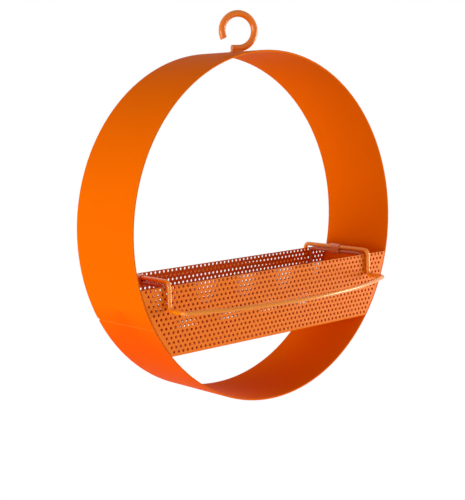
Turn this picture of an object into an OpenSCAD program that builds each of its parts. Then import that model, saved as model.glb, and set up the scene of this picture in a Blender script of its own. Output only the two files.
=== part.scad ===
// Hanging bird feeder: a round sheet hoop with a perforated seed tray across its lower half,
// a loop of wire that makes a perch in front and behind, and an open rod hook welded on top.
// The origin is the hanging point, at the top of the hook's inside. The front faces -Y.

/* [Hoop] */
// Outer diameter of the hoop
hoop_d = 254; // [220:1:300]
// Depth of the hoop, front rim to back rim
hoop_depth = 65; // [55:1:80]
// Thickness of the hoop's sheet
hoop_t = 1.2; // [1:0.1:2]
// Chamfer along the hoop's rims
rim_chamfer = 0.3; // [0.1:0.05:0.4]
// Place of the butt seam, counted from +X up and round to the left
seam_angle = 208; // [200:1:212]
// Width of the shallow line that the ground weld leaves at the seam
seam_w = 0.7; // [0.4:0.1:1.5]
// Depth of that line in the outer face
seam_sink = 0.15; // [0.05:0.05:0.3]
// Length of the nick that the seam leaves in the back rim
nick_w = 2.6; // [1:0.1:4]
// Depth of the nick in the back rim
nick_h = 1.5; // [0.5:0.1:3]

/* [Hook] */
// Diameter of the hook's rod
rod_d = 5; // [4:0.25:7]
// Clear diameter inside the hook
hook_inside_d = 20; // [16:0.5:30]
// Angle that the bent rod covers, from the foot round to the free end
hook_sweep = 295; // [260:1:300]
// Turn of the hook about the vertical, away from the hoop's own plane
hook_turn = 22; // [0:1:30]
// Straight end of the rod that lies on the hoop
foot_len = 5.5; // [3:0.5:10]
// Diameter of the rounded weld bead under the foot
bead_d = 8; // [7:0.2:10]
// Depth of the bead's axis below the top of the hoop
bead_sink = 2.2; // [1.5:0.1:3]

/* [Tray] */
// Drop of the tray's top edge below the hoop's centre
tray_drop = 31; // [20:1:45]
// Height of the tray
tray_h = 49; // [40:1:60]
// Thickness of the tray's perforated sheet
sheet_t = 0.8; // [0.6:0.1:1.2]
// Inner radius of the two folds along the tray's bottom
fold_r = 0.9; // [0.5:0.1:2]
// Weld gap between the welded pieces
weld_gap = 0.1; // [0.05:0.05:0.25]
// Diameter of the holes in the sheet
hole_d = 2; // [1.4:0.1:2.4]
// Distance between neighbouring holes of a row
hole_pitch = 4; // [3.8:0.2:6]
// Height between the rows of holes
row_pitch = 3.4; // [3.2:0.2:6]
// Distance from the tray's top edge to the first row of holes
first_row = 1.5; // [1.4:0.1:4]
// Least distance from a hole's centre to the sheet's other edges
edge_margin = 1.9; // [1.5:0.1:4]
// Sideways place of the hole pattern, from the middle of the front wall's first row
hole_offset = 2.3; // [0:0.1:3.9]

/* [Perch] */
// Diameter of the perch wire and of the tie wires
wire_d = 3.2; // [2.5:0.1:4]
// Distance of the wires' rails from the hoop, along the tray's top edge
rail_inset = 22.4; // [18:0.4:40]
// Height of the perch wire's rails above the tray's top edge
rail_lift = 3.3; // [2.5:0.1:6]
// Radius of the wires' bends, on the wire's centre
bend_r = 3.6; // [3:0.2:5]
// Drop from the rails to the perch in front of the tray
front_leg = 19.6; // [14:0.2:26]
// Drop from the rails to the perch behind the tray
back_leg = 15.8; // [12:0.2:24]
// Length of the stubs that carry the perches away from the tray
stub_len = 15.6; // [12:0.4:25]
// Bow of each perch, from the line between its corners to its middle
perch_bow = 24; // [16:1:36]

/* [Tie] */
// Drop of the tie wires' legs inside the tray
tie_leg = 18; // [12:1:24]
// Gap between the tie wires' legs and the tray's walls
tie_gap = 2; // [0.2:0.2:5]
// Length of the ferrule that clamps each pair of rails
ferrule_len = 10; // [6:0.5:16]
// Wall of the ferrule
ferrule_t = 0.8; // [0.6:0.1:1.5]
// Clearance between a rail and the ferrule round it
ferrule_gap = 0.05; // [0.05:0.05:0.2]

/* [Hidden] */
$fn = 96;
cut = 4;
hair = 0.02;
lap = 0.2;

orange = [1, 0.42, 0.02];
deep_orange = [0.85, 0.36, 0.1];
gold_orange = [0.93, 0.55, 0.15];

hoop_r = hoop_d / 2;
hoop_inner_r = hoop_r - hoop_t;
tray_r = hoop_inner_r - weld_gap;
hook_r = (hook_inside_d + rod_d) / 2;
hook_z = -hook_inside_d / 2;
hoop_z = hook_z - hook_r - rod_d / 2 - weld_gap - hoop_r;

// Heights and widths from here on are measured from the hoop's centre
half_depth = hoop_depth / 2;
tray_top = -tray_drop;
tray_bottom = tray_top - tray_h;
fold_outer = fold_r + sheet_t;
wall_bottom = tray_bottom + fold_outer;
floor_edge = half_depth - fold_outer;
floor_half = sqrt(pow(tray_r, 2) - pow(tray_bottom, 2));

wire_r = wire_d / 2;
rail_x = sqrt(pow(hoop_inner_r, 2) - pow(tray_top, 2)) - rail_inset;
rail_z = tray_top + rail_lift;
tie_z = rail_z - wire_d - weld_gap;
outer_y = half_depth + weld_gap + wire_r;
inner_y = half_depth - sheet_t - tie_gap - wire_r;

// Both perches lie flat: v counts outwards from the end of the elbow under the leg
perch_y = outer_y + bend_r;
corner_v = stub_len - bend_r;
perch_r = (pow(rail_x, 2) + pow(perch_bow, 2)) / (2 * perch_bow);
perch_v = corner_v + perch_bow - perch_r;
corner_x = rail_x - bend_r;
stub_v = perch_v + sqrt(pow(perch_r - bend_r, 2) - pow(corner_x, 2));
corner_turn = atan2(stub_v - perch_v, corner_x);
bow_start = corner_turn - asin(lap / perch_r);

// Half the width that the hoop leaves for holes at height z
function hole_reach(z) = sqrt(pow(tray_r - edge_margin, 2) - pow(z, 2));

// Everything below the hook is placed from the hoop's centre
module at_hoop() {
    translate([0, 0, hoop_z]) children();
}

// Wire bent in the YZ plane round a centre at the origin, from angle a through turn t
module bend_yz(a, t) {
    rotate([90, 0, 90]) rotate([0, 0, a]) rotate_extrude(angle = t)
        translate([bend_r, 0]) circle(r = wire_r);
}

// Straight wire downwards from height z, h long
module leg(x, y, z, h) {
    translate([x, y, z - h]) cylinder(r = wire_r, h = h);
}

// Rail along Y with an elbow at each end; y is the place of the legs and z the rail's height
module rail(x, y, z) {
    translate([x, y - bend_r, z]) rotate([90, 0, 0]) cylinder(r = wire_r, h = 2 * (y - bend_r));
    translate([x, y - bend_r, z - bend_r]) bend_yz(0, 90);
    translate([x, -y + bend_r, z - bend_r]) bend_yz(90, 90);
}

module hoop_section() {
    polygon([
        [hoop_inner_r + rim_chamfer, -half_depth], [hoop_r - rim_chamfer, -half_depth],
        [hoop_r, -half_depth + rim_chamfer], [hoop_r, half_depth - rim_chamfer],
        [hoop_r - rim_chamfer, half_depth], [hoop_inner_r + rim_chamfer, half_depth],
        [hoop_inner_r, half_depth - rim_chamfer], [hoop_inner_r, -half_depth + rim_chamfer]
    ]);
}

// Rolled strip, closed by one butt seam at the lower left
module hoop() {
    color(orange) at_hoop() difference() {
        rotate([90, 0, 0]) rotate_extrude() hoop_section();
        rotate([0, -seam_angle, 0]) {
            translate([hoop_r - seam_sink, -half_depth - cut, -seam_w / 2])
                cube([cut, hoop_depth + 2 * cut, seam_w]);
            translate([hoop_inner_r - cut, half_depth - nick_h, -nick_w / 2])
                cube([hoop_t + 2 * cut, nick_h + cut, nick_w]);
        }
    }
}

// Weld bead along the foot, seated on the hoop
module hook_bead() {
    difference() {
        rotate([0, 0, -hook_turn]) translate([0, 0, hoop_z + hoop_r - bead_sink]) {
            rotate([0, -90, 0]) cylinder(d = bead_d, h = foot_len - bead_d / 4);
            sphere(d = bead_d);
            translate([-foot_len + bead_d / 4, 0, 0]) sphere(d = bead_d);
        }
        translate([0, 0, hoop_z]) rotate([90, 0, 0])
            cylinder(r = hoop_r + weld_gap, h = hoop_depth, center = true);
    }
}

// Bent rod: a ring that is open at its lower left, with a straight foot under it
module hook() {
    color(orange) union() {
        rotate([0, 0, -hook_turn]) {
            translate([0, 0, hook_z]) rotate([90, 0, 0]) rotate([0, 0, -90])
                rotate_extrude(angle = hook_sweep) translate([hook_r, 0]) circle(d = rod_d);
            translate([0, 0, hook_z - hook_r]) rotate([0, -90, 0])
                cylinder(d = rod_d, h = foot_len);
        }
        hook_bead();
    }
}

// Holes of a flat wall, drawn in X and Z; stagger tells which of the rows are moved sideways
module wall_holes(stagger) {
    last = floor((tray_h - first_row - fold_outer - hole_d / 2) / row_pitch);
    for (row = [0 : last]) {
        z = tray_top - first_row - row * row_pitch;
        shift = hole_offset + ((row + stagger) % 2) * hole_pitch / 2;
        side = floor(hole_reach(z) / hole_pitch) + 2;
        for (k = [-side : side]) {
            x = k * hole_pitch + shift;
            if (abs(x) <= hole_reach(z)) translate([x, z]) circle(d = hole_d);
        }
    }
}

// Holes of the floor, drawn in X and Y
module floor_holes() {
    last = floor((floor_edge - hole_d / 2) / row_pitch);
    reach = floor_half - edge_margin;
    side = floor(reach / hole_pitch) + 1;
    for (row = [-last : last]) {
        shift = (abs(row) % 2) * hole_pitch / 2;
        for (k = [-side : side]) {
            x = k * hole_pitch + shift;
            if (abs(x) <= reach) translate([x, row * row_pitch]) circle(d = hole_d);
        }
    }
}

// Flat wall that stands in a rim plane of the hoop and is cut to the hoop's round
module tray_wall(stagger) {
    rotate([90, 0, 0]) linear_extrude(sheet_t) difference() {
        intersection() {
            circle(r = tray_r);
            translate([-tray_r, wall_bottom]) square([2 * tray_r, tray_top - wall_bottom]);
        }
        wall_holes(stagger);
    }
}

// Fold between the floor and the front wall
module tray_fold() {
    intersection() {
        translate([-tray_r, -floor_edge, wall_bottom]) rotate([90, 0, 90])
            linear_extrude(2 * tray_r) intersection() {
                difference() {
                    circle(r = fold_outer);
                    circle(r = fold_r);
                }
                translate([-fold_outer, -fold_outer]) square(fold_outer);
            }
        rotate([90, 0, 0]) cylinder(r = tray_r, h = 2 * hoop_depth, center = true);
    }
}

// One perforated sheet folded to a trough, its cut ends welded to the hoop
module tray() {
    color(deep_orange) at_hoop() union() {
        translate([0, -half_depth + sheet_t, 0]) tray_wall(0);
        translate([0, half_depth, 0]) tray_wall(1);
        tray_fold();
        mirror([0, 1, 0]) tray_fold();
        intersection() {
            translate([0, 0, tray_bottom]) linear_extrude(sheet_t) difference() {
                square([2 * tray_r, 2 * floor_edge], center = true);
                floor_holes();
            }
            rotate([90, 0, 0]) cylinder(r = tray_r, h = 2 * hoop_depth, center = true);
        }
    }
}

// One side of a perch: the leg outside the tray's wall, an elbow, a stub and the bow's corner
module perch_side(drop) {
    leg(rail_x, outer_y, rail_z - bend_r, drop - 2 * bend_r);
    translate([rail_x, perch_y, rail_z - drop + bend_r]) bend_yz(180, 90);
    translate([0, perch_y, rail_z - drop]) {
        translate([rail_x, -lap, 0]) rotate([-90, 0, 0])
            cylinder(r = wire_r - hair, h = stub_v + lap);
        translate([corner_x, stub_v, 0]) rotate_extrude(angle = corner_turn)
            translate([bend_r, 0]) circle(r = wire_r - hair);
    }
}

// Both sides of a perch with the bow between them, drawn behind the tray.
// Each run that starts in a new direction is a hair thinner and laps into the one before.
module perch(drop) {
    perch_side(drop);
    mirror([1, 0, 0]) perch_side(drop);
    translate([0, perch_y, rail_z - drop]) translate([0, perch_v, 0]) rotate([0, 0, bow_start])
        rotate_extrude(angle = 180 - 2 * bow_start)
            translate([perch_r, 0]) circle(r = wire_r - 2 * hair);
}

// One closed loop of wire: a rail over each end of the tray, a perch behind and one in front
module perch_wire() {
    color(gold_orange) at_hoop() union() {
        rail(rail_x, outer_y, rail_z);
        rail(-rail_x, outer_y, rail_z);
        perch(back_leg);
        mirror([0, 1, 0]) perch(front_leg);
    }
}

// Staple inside the tray, under a rail of the perch wire
module tie_wire() {
    leg(rail_x, inner_y, tie_z - bend_r, tie_leg - bend_r);
    rail(rail_x, inner_y, tie_z);
    leg(rail_x, -inner_y, tie_z - bend_r, tie_leg - bend_r);
}

module right_tie_wire() {
    color(gold_orange) at_hoop() tie_wire();
}

module left_tie_wire() {
    color(gold_orange) at_hoop() mirror([1, 0, 0]) tie_wire();
}

// Outline round both rails at distance d from them, drawn in X and Z
module rail_outline(d) {
    translate([rail_x, rail_z]) circle(r = wire_r + d);
    translate([rail_x, tie_z]) circle(r = wire_r + d);
    translate([rail_x - wire_r - d, tie_z]) square([wire_d + 2 * d, rail_z - tie_z]);
}

// Sleeve pressed round the two rails at the middle of the tray
module ferrule() {
    translate([0, ferrule_len / 2, 0]) rotate([90, 0, 0]) linear_extrude(ferrule_len)
        difference() {
            rail_outline(ferrule_gap + ferrule_t);
            rail_outline(ferrule_gap);
        }
}

module right_ferrule() {
    color(gold_orange) at_hoop() ferrule();
}

module left_ferrule() {
    color(gold_orange) at_hoop() mirror([1, 0, 0]) ferrule();
}

hoop();
hook();
tray();
perch_wire();
left_tie_wire();
right_tie_wire();
left_ferrule();
right_ferrule();
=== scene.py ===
import bpy
import math
from mathutils import Matrix, Vector

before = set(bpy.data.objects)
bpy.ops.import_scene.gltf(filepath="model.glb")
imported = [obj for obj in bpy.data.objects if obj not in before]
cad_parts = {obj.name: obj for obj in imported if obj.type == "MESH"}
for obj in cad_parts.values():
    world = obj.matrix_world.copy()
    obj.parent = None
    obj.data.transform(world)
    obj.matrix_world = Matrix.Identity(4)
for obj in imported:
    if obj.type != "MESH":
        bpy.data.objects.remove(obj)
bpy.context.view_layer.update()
print("stage: frame loaded")

# Camera at the photograph's view, worked out from the hoop's two rims
cameraSet = {
    "azimuth": -41.412,        # degrees, negative is to the left of the front
    "elevation": 7.634,        # degrees
    "roll": 1.607,             # degrees
    "distance": 0.8620,        # metres from the hoop's centre
    "shiftRight": -0.00865,    # metres, a step sideways of the camera, which stays parallel
    "shiftUp": -0.01917,       # metres
    "lens": 83.07,             # mm
    "sensor": 36.0,            # mm, the frame's longer side
    "nearest": 0.01,           # metres
    "hoopCentre": (0.0, 0.0, -0.1521),
}


# Unit vector from a target towards a camera or lamp, from two angles in degrees
def towards(azimuth, elevation):
    a = math.radians(azimuth)
    e = math.radians(elevation)
    return Vector((math.sin(a) * math.cos(e), -math.cos(a) * math.cos(e), math.sin(e)))


def makeCamera(s):
    back = towards(s["azimuth"], s["elevation"])
    right = (-back).cross(Vector((0, 0, 1))).normalized()
    up = right.cross(-back)
    place = Vector(s["hoopCentre"]) + back * s["distance"] + right * s["shiftRight"] + up * s["shiftUp"]
    roll = math.radians(s["roll"])
    rolledRight = right * math.cos(roll) - up * math.sin(roll)
    rolledUp = right * math.sin(roll) + up * math.cos(roll)
    data = bpy.data.cameras.new("camera")
    data.sensor_width = s["sensor"]
    data.sensor_fit = "AUTO"
    data.lens = s["lens"]
    data.clip_start = s["nearest"]
    cam = bpy.data.objects.new("camera", data)
    turn = Matrix((rolledRight, rolledUp, back)).transposed().to_4x4()
    cam.matrix_world = Matrix.Translation(place) @ turn
    bpy.context.collection.objects.link(cam)
    bpy.context.scene.camera = cam


makeCamera(cameraSet)
print("stage: camera")


# Helpers for node trees; a value is a number, a vector, a colour or the output that feeds the socket
def feed(tree, socket, value):
    if isinstance(value, bpy.types.NodeSocket):
        tree.links.new(value, socket)
    else:
        socket.default_value = value


def mathNode(tree, operation, *values, clamp=False):
    node = tree.nodes.new("ShaderNodeMath")
    node.operation = operation
    node.use_clamp = clamp
    for socket, value in zip(node.inputs, values):
        feed(tree, socket, value)
    return node.outputs[0]


def vectorNode(tree, operation, *values):
    node = tree.nodes.new("ShaderNodeVectorMath")
    node.operation = operation
    for socket, value in zip(node.inputs, values):
        feed(tree, socket, value)
    return node.outputs["Value" if operation == "DOT_PRODUCT" else "Vector"]


# 0 at the start and 1 at the end
def rangeNode(tree, value, start, end, kind="LINEAR"):
    node = tree.nodes.new("ShaderNodeMapRange")
    node.interpolation_type = kind
    feed(tree, node.inputs["Value"], value)
    feed(tree, node.inputs["From Min"], start)
    feed(tree, node.inputs["From Max"], end)
    return node.outputs[0]


def noiseNode(tree, place, scale, detail):
    node = tree.nodes.new("ShaderNodeTexNoise")
    feed(tree, node.inputs["Vector"], place)
    feed(tree, node.inputs["Scale"], scale)
    feed(tree, node.inputs["Detail"], detail)
    return node.outputs["Fac"]


def mixColours(tree, amount, first, deepTone):
    node = tree.nodes.new("ShaderNodeMix")
    node.data_type = "RGBA"
    feed(tree, node.inputs["Factor"], amount)
    feed(tree, node.inputs["A"], first)
    feed(tree, node.inputs["B"], deepTone)
    return node.outputs["Result"]


# Powder coat: orange peel, a slow drift of tone, a deeper tone low down or on faces that look inwards
# (painted shade inside the tray), and a painted highlight: a paler colour on edges
filmSet = {
    "driftScale": 14.0, "driftDetail": 2.0,
    "peelScale": 1400.0, "peelDetail": 2.0,     # fine orange peel
    "waveScale": 260.0, "waveDetail": 3.0,      # broader waves, in the height and in the gloss
    "waveGloss": 0.12,                          # roughness that the waves add at most
    "height": 0.0002,                           # metres, of peel and waves
    "edgeReach": 0.0007, "edgeSamples": 4,      # metres that the painted highlight reaches from an edge
    "edgeFlat": 0.995, "edgeSharp": 0.75,       # how well the true and the rounded normal agree
    "highEnd": -0.14, "lowEnd": -0.24,          # metres, between which the low tone sets in
    "trayMiddle": -0.200,                       # metres, height of the tray's middle line
    "facesAway": -0.5, "facesIn": 0.4,          # how far a face turns to that line
}

# Each input of the group, its kind, and the key of a coat's dictionary that sets it
coatInputs = [
    ("Base", "NodeSocketColor", "base"),
    ("Deep Tone", "NodeSocketColor", "deepTone"),
    ("Edge Highlight", "NodeSocketColor", "edge"),
    ("Low Amount", "NodeSocketFloat", "low"),
    ("Inner Amount", "NodeSocketFloat", "inner"),
    ("Drift", "NodeSocketFloat", "drift"),
    ("Edge Highlight Amount", "NodeSocketFloat", "edgeAmount"),
    ("Peel", "NodeSocketFloat", "peel"),
    ("Gloss", "NodeSocketFloat", "roughness"),
]
# Each output of the group has the name of the shader's socket that it feeds
coatOutputs = [
    ("Base Color", "NodeSocketColor"),
    ("Roughness", "NodeSocketFloat"),
    ("Normal", "NodeSocketVector"),
]


def makePowderCoat(s):
    t = bpy.data.node_groups.new("powderCoat", "ShaderNodeTree")
    for label, kind, key in coatInputs:
        t.interface.new_socket(label, in_out="INPUT", socket_type=kind)
    for label, kind in coatOutputs:
        t.interface.new_socket(label, in_out="OUTPUT", socket_type=kind)
    given = t.nodes.new("NodeGroupInput").outputs
    made = t.nodes.new("NodeGroupOutput").inputs
    place = t.nodes.new("ShaderNodeTexCoord").outputs["Object"]
    trueNormal = t.nodes.new("ShaderNodeNewGeometry").outputs["Normal"]
    drift = noiseNode(t, place, s["driftScale"], s["driftDetail"])
    peel = noiseNode(t, place, s["peelScale"], s["peelDetail"])
    wave = noiseNode(t, place, s["waveScale"], s["waveDetail"])

    # how low the place is, and whether the face looks towards the tray's middle line
    parts = t.nodes.new("ShaderNodeSeparateXYZ")
    t.links.new(place, parts.inputs[0])
    low = rangeNode(t, parts.outputs["Z"], s["highEnd"], s["lowEnd"], "SMOOTHSTEP")
    inwards = vectorNode(t, "SUBTRACT", (0.0, 0.0, s["trayMiddle"]), place)
    across = vectorNode(t, "NORMALIZE", vectorNode(t, "MULTIPLY", inwards, (0.0, 1.0, 1.0)))
    turned = vectorNode(t, "DOT_PRODUCT", across, trueNormal)
    inner = rangeNode(t, turned, s["facesAway"], s["facesIn"])
    lowPart = mathNode(t, "MULTIPLY", low, given["Low Amount"])
    deepTone = mathNode(t, "MULTIPLY_ADD", inner, given["Inner Amount"], lowPart, clamp=True)

    # the base tone and the deeper tone, which is painted shade on the tray's inner faces, then the drift
    swing = mathNode(t, "SUBTRACT", drift, 0.5)
    tone = t.nodes.new("ShaderNodeHueSaturation")
    feed(t, tone.inputs["Color"], mixColours(t, deepTone, given["Base"], given["Deep Tone"]))
    feed(t, tone.inputs["Value"], mathNode(t, "MULTIPLY_ADD", swing, given["Drift"], 1.0))

    # painted highlight: a paler colour on edges, where the rounded normal leaves the true one
    bevel = t.nodes.new("ShaderNodeBevel")
    bevel.samples = s["edgeSamples"]
    bevel.inputs["Radius"].default_value = s["edgeReach"]
    agree = vectorNode(t, "DOT_PRODUCT", bevel.outputs["Normal"], trueNormal)
    edge = rangeNode(t, agree, s["edgeFlat"], s["edgeSharp"])
    overlay = mathNode(t, "MULTIPLY", edge, given["Edge Highlight Amount"], clamp=True)
    t.links.new(mixColours(t, overlay, tone.outputs["Color"], given["Edge Highlight"]), made["Base Color"])

    # gloss broken up a little, and orange peel
    t.links.new(mathNode(t, "MULTIPLY_ADD", wave, s["waveGloss"], given["Gloss"]), made["Roughness"])
    bump = t.nodes.new("ShaderNodeBump")
    bump.inputs["Distance"].default_value = s["height"]
    feed(t, bump.inputs["Strength"], given["Peel"])
    feed(t, bump.inputs["Height"], mathNode(t, "ADD", peel, wave))
    feed(t, bump.inputs["Normal"], bevel.outputs["Normal"])
    t.links.new(bump.outputs["Normal"], made["Normal"])
    return t


powderCoat = makePowderCoat(filmSet)

# The coats: where the deeper tone is left out, the piece has one tone; each coat's edge colour is a
# painted highlight
hoopCoat = {
    "base": (0.94, 0.150, 0.0), "deepTone": (0.95, 0.092, 0.0), "edge": (1.0, 0.42, 0.05),
    "low": 1.0, "inner": -1.0,                  # the low tone stays off the faces that look inwards
    "drift": 0.08, "edgeAmount": 0.8, "peel": 0.12,
    "roughness": 0.36, "specular": 0.003, "tint": (1.0, 0.5, 0.1), "clear": 0.0, "clearRoughness": 0.25,
}
hookCoat = {
    "base": (0.93, 0.185, 0.001), "edge": (1.0, 0.45, 0.08),
    "drift": 0.10, "edgeAmount": 0.3, "peel": 0.08,
    "roughness": 0.17, "specular": 0.8, "tint": (1.0, 0.75, 0.4), "clear": 0.1, "clearRoughness": 0.1,
}
trayCoat = {
    "base": (0.92, 0.19, 0.006), "deepTone": (0.72, 0.088, 0.002), "edge": (1.0, 0.38, 0.06),
    # the deeper tone on the faces that look inwards is painted shade
    "inner": 1.0,
    "drift": 0.10, "edgeAmount": 0.4, "peel": 0.10,
    "roughness": 0.36, "specular": 0.18, "tint": (1.0, 0.7, 0.35), "clear": 0.0, "clearRoughness": 0.25,
}
perchCoat = {
    "base": (0.95, 0.25, 0.003), "edge": (1.0, 0.5, 0.15),
    "drift": 0.08, "edgeAmount": 0.2, "peel": 0.08,
    "roughness": 0.20, "specular": 1.0, "tint": (1.0, 0.78, 0.42), "clear": 0.15, "clearRoughness": 0.12,
}
# darker and browner than the wire loop: partly the wire's own coat, partly painted shade
tieCoat = {
    "base": (0.60, 0.10, 0.012), "edge": (0.9, 0.35, 0.12),
    "drift": 0.10, "edgeAmount": 0.3, "peel": 0.10,
    "roughness": 0.24, "specular": 0.5, "tint": (1.0, 0.75, 0.55), "clear": 0.6, "clearRoughness": 0.14,
}
# darker and browner than the wire loop: partly the sleeve's own coat, partly painted shade
ferruleCoat = {
    "base": (0.78, 0.165, 0.03), "edge": (1.0, 0.45, 0.12),
    "drift": 0.10, "edgeAmount": 0.4, "peel": 0.10,
    "roughness": 0.24, "specular": 0.6, "tint": (1.0, 0.8, 0.6), "clear": 0.6, "clearRoughness": 0.14,
}


def coatMaterial(name, coat):
    s = {"deepTone": coat["base"], "low": 0.0, "inner": 0.0, **coat}
    mat = bpy.data.materials.new(name)
    mat.use_nodes = True
    t = mat.node_tree
    shader = t.nodes["Principled BSDF"]
    overlay = t.nodes.new("ShaderNodeGroup")
    overlay.node_tree = powderCoat
    for label, kind, key in coatInputs:
        overlay.inputs[label].default_value = (*s[key], 1) if kind == "NodeSocketColor" else s[key]
    for label, kind in coatOutputs:
        t.links.new(overlay.outputs[label], shader.inputs[label])
    shader.inputs["Specular IOR Level"].default_value = s["specular"]
    shader.inputs["Specular Tint"].default_value = (*s["tint"], 1)
    shader.inputs["Coat Weight"].default_value = s["clear"]
    shader.inputs["Coat Roughness"].default_value = s["clearRoughness"]
    return mat


tieMaterial = coatMaterial("deepCoatAndShadeWire", tieCoat)
ferruleMaterial = coatMaterial("glossCoatSleeve", ferruleCoat)
nodeMaterials = {
    "hoop": coatMaterial("satinCoatSheet", hoopCoat),
    "hook": coatMaterial("glossCoatRod", hookCoat),
    "tray": coatMaterial("satinCoatPerforated", trayCoat),
    "perch_wire": coatMaterial("glossCoatWire", perchCoat),
    "left_tie_wire": tieMaterial,
    "right_tie_wire": tieMaterial,
    "left_ferrule": ferruleMaterial,
    "right_ferrule": ferruleMaterial,
}
for nodeName, mat in nodeMaterials.items():
    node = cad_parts[nodeName]
    if not node.material_slots:
        node.data.materials.append(mat)
    for slot in node.material_slots:
        slot.material = mat
print("stage: materials")

# Floor and world, which are white where they are looked at, and dimmer as light on the object
floorSet = {
    "level": -0.62, "size": 6.0,                # metres
    "colour": (0.9, 0.9, 0.9), "roughness": 0.9,
    "whiteShare": 0.98, "whiteStrength": 1.012,  # the rest is the real surface, with its shadow
}
worldSet = {"colour": (1.0, 1.0, 1.0), "lightStrength": 0.379, "seenStrength": 1.0}


# 1 where the camera, a reflection or a ray through glass looks, and 0 for the light on the object
def lookedAt(tree):
    path = tree.nodes.new("ShaderNodeLightPath").outputs
    cameraOrGlossy = mathNode(tree, "MAXIMUM", path["Is Camera Ray"], path["Is Glossy Ray"])
    return mathNode(tree, "MAXIMUM", cameraOrGlossy, path["Is Transmission Ray"])


def mixShaders(tree, amount, first, deepTone, output):
    mix = tree.nodes.new("ShaderNodeMixShader")
    for socket, value in zip(mix.inputs, (amount, first.outputs[0], deepTone.outputs[0])):
        tree.links.new(value, socket)
    tree.links.new(mix.outputs[0], output.inputs[0])


def makeFloor(s):
    bpy.ops.object.select_all(action="DESELECT")
    bpy.ops.mesh.primitive_plane_add(size=s["size"], location=(0, 0, s["level"]))
    floor = bpy.context.object
    floor.name = "floor"
    mat = bpy.data.materials.new("paleFloor")
    mat.use_nodes = True
    t = mat.node_tree
    surface = t.nodes["Principled BSDF"]
    surface.inputs["Base Color"].default_value = (*s["colour"], 1)
    surface.inputs["Roughness"].default_value = s["roughness"]
    glow = t.nodes.new("ShaderNodeEmission")
    glow.inputs["Strength"].default_value = s["whiteStrength"]
    seen = mathNode(t, "MULTIPLY", lookedAt(t), s["whiteShare"])
    mixShaders(t, seen, surface, glow, t.nodes["Material Output"])
    floor.data.materials.append(mat)


def makeWorld(s):
    world = bpy.data.worlds.new("studio")
    bpy.context.scene.world = world
    world.use_nodes = True
    t = world.node_tree
    light = t.nodes["Background"]
    seen = t.nodes.new("ShaderNodeBackground")
    for node, key in ((light, "lightStrength"), (seen, "seenStrength")):
        node.inputs["Color"].default_value = (*s["colour"], 1)
        node.inputs["Strength"].default_value = s[key]
    mixShaders(t, lookedAt(t), light, seen, t.nodes["World Output"])


# Each lamp is a square panel turned towards the target; angles in degrees, sizes in metres, power in watts
lampTarget = (0.0, 0.0, -0.15)
lamps = {
    "leftPanel": {"azimuth": -100, "elevation": -4, "distance": 1.3, "size": 0.6, "power": 7.2},
    "frontLeftPanel": {"azimuth": -60, "elevation": -4, "distance": 1.3, "size": 0.6, "power": 2.4},
    "frontRightPanel": {"azimuth": 60, "elevation": -4, "distance": 1.3, "size": 0.6, "power": 11.6},
}


def makeLamp(name, s, target):
    data = bpy.data.lights.new(name, "AREA")
    data.shape = "SQUARE"
    data.size = s["size"]
    data.energy = s["power"]
    lamp = bpy.data.objects.new(name, data)
    away = towards(s["azimuth"], s["elevation"])
    turn = (-away).to_track_quat("-Z", "Y").to_matrix().to_4x4()
    lamp.matrix_world = Matrix.Translation(Vector(target) + away * s["distance"]) @ turn
    bpy.context.collection.objects.link(lamp)


makeFloor(floorSet)
makeWorld(worldSet)
for lampName, lampSet in lamps.items():
    makeLamp(lampName, lampSet, lampTarget)
bpy.context.scene.view_settings.view_transform = "Standard"
print("stage: floor and light")
